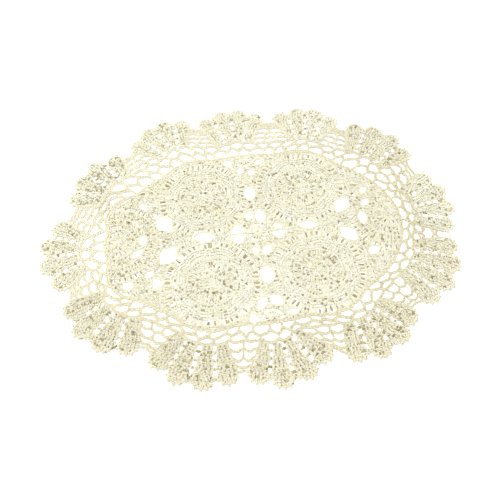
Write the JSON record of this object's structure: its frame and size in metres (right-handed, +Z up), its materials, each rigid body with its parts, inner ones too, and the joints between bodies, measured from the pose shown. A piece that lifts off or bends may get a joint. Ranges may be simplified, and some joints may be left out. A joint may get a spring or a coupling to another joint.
{
  "type": "crocheted lace doily",
  "caption": "Oval openwork table doily crocheted in one piece, with round motifs, a chain-loop ground and a border of scalloped fans.",
  "frame": {"origin": "middle of the doily's outline, on the table under it", "axes": "+X along the long way of the oval, +Y across it, +Z up out of the table"},
  "size_m": [0.379, 0.3016, 0.0016],
  "materials": {
    "ecru_cotton": "matt crochet cotton"
  },
  "bodies": {
    "root": {"doily": "ecru_cotton"}
  },
  "joints": []
}
